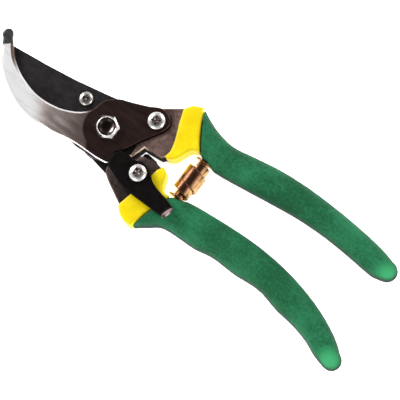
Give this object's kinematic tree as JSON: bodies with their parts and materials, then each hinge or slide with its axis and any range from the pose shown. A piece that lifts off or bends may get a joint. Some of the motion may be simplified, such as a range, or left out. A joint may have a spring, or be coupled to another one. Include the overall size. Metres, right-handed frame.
{
  "type": "bypass pruner",
  "caption": "Hand pruner with a hooked counter-blade, a curved cutting blade, a volute spring, a thumb lock lever and two sleeved handles, shown closed.",
  "frame": {"origin": "on the pivot axis, at the end face of the pivot bolt, which is level with the underside of the grips", "axes": "+X from the pivot towards the handle ends, +Y towards the upper handle, +Z towards the counter-blade's side"},
  "size_m": [0.2088, 0.0616, 0.0206],
  "materials": {
    "polished_steel": "ground, darkening to oxide brown at the pivot",
    "dark_steel": "dark oxide, satin",
    "black_coating": "satin low-friction coating",
    "bright_steel": "bright nickel",
    "zinc_strip": "yellow zinc on spring steel",
    "yellow_plastic": "smooth",
    "green_plastic": "fine grain"
  },
  "bodies": {
    "upper_handle": {"upper_frame": "dark_steel", "upper_collar": "yellow_plastic", "upper_grip": "green_plastic", "counter_blade": "polished_steel", "counter_blade_screw": "bright_steel", "pivot_bolt": "bright_steel", "pivot_washer": "bright_steel", "pivot_nut": "bright_steel", "upper_spring_seat": "zinc_strip", "volute_spring": "zinc_strip"},
    "lower_handle": {"lower_frame": "dark_steel", "lower_collar": "yellow_plastic", "lower_grip": "green_plastic", "cutting_blade": "black_coating", "blade_screw": "bright_steel", "blade_nut": "bright_steel", "lock_screw": "bright_steel", "lock_spacer": "dark_steel", "lock_wave_washer": "bright_steel", "lower_spring_seat": "zinc_strip"},
    "lock_lever": {"lock_lever": "black_coating"}
  },
  "joints": [
    {"name": "pivot", "type": "hinge", "parent": "upper_handle", "child": "lower_handle", "pos_m": [0, 0, 0.009], "axis": [0, 0, 1], "range_deg": [-28, 0], "deforming": ["volute_spring"]},
    {"name": "lock_turn", "type": "hinge", "parent": "lower_handle", "child": "lock_lever", "pos_m": [0.0237, -0.0082, 0.0154], "axis": [0, 0, 1], "range_deg": [0, 25]}
  ]
}
